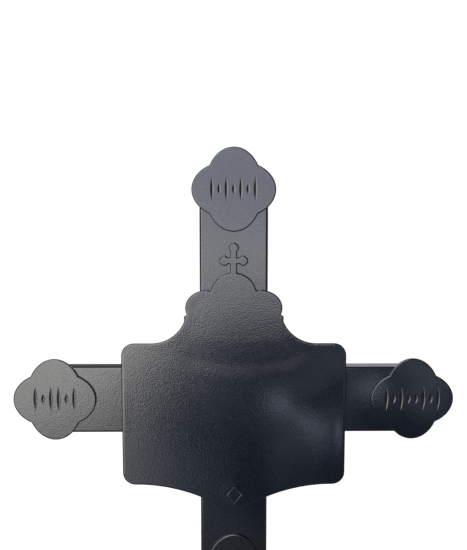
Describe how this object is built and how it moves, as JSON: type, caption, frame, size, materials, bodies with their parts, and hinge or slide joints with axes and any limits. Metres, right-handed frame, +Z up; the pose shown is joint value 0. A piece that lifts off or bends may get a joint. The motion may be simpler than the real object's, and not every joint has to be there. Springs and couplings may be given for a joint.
{
  "type": "metal grave cross",
  "caption": "Flat-bar metal grave cross with quatrefoil medallions, a shield-shaped name plaque over the crossing and a small bud-ended cross on its crown.",
  "frame": {"origin": "centre of the post's flat cut foot, at ground level", "axes": "+Z up along the post, -Y out of the front with the plaque, +X to the right seen from the front"},
  "size_m": [0.5234, 0.023, 0.9991],
  "materials": {
    "black_powder_coat": "semi-gloss black powder coat with a fine leathery grain over steel"
  },
  "bodies": {
    "root": {"post": "black_powder_coat", "arm_left": "black_powder_coat", "arm_right": "black_powder_coat", "medallion_top": "black_powder_coat", "medallion_left": "black_powder_coat", "medallion_right": "black_powder_coat", "medallion_lower": "black_powder_coat", "plaque": "black_powder_coat"}
  },
  "joints": []
}
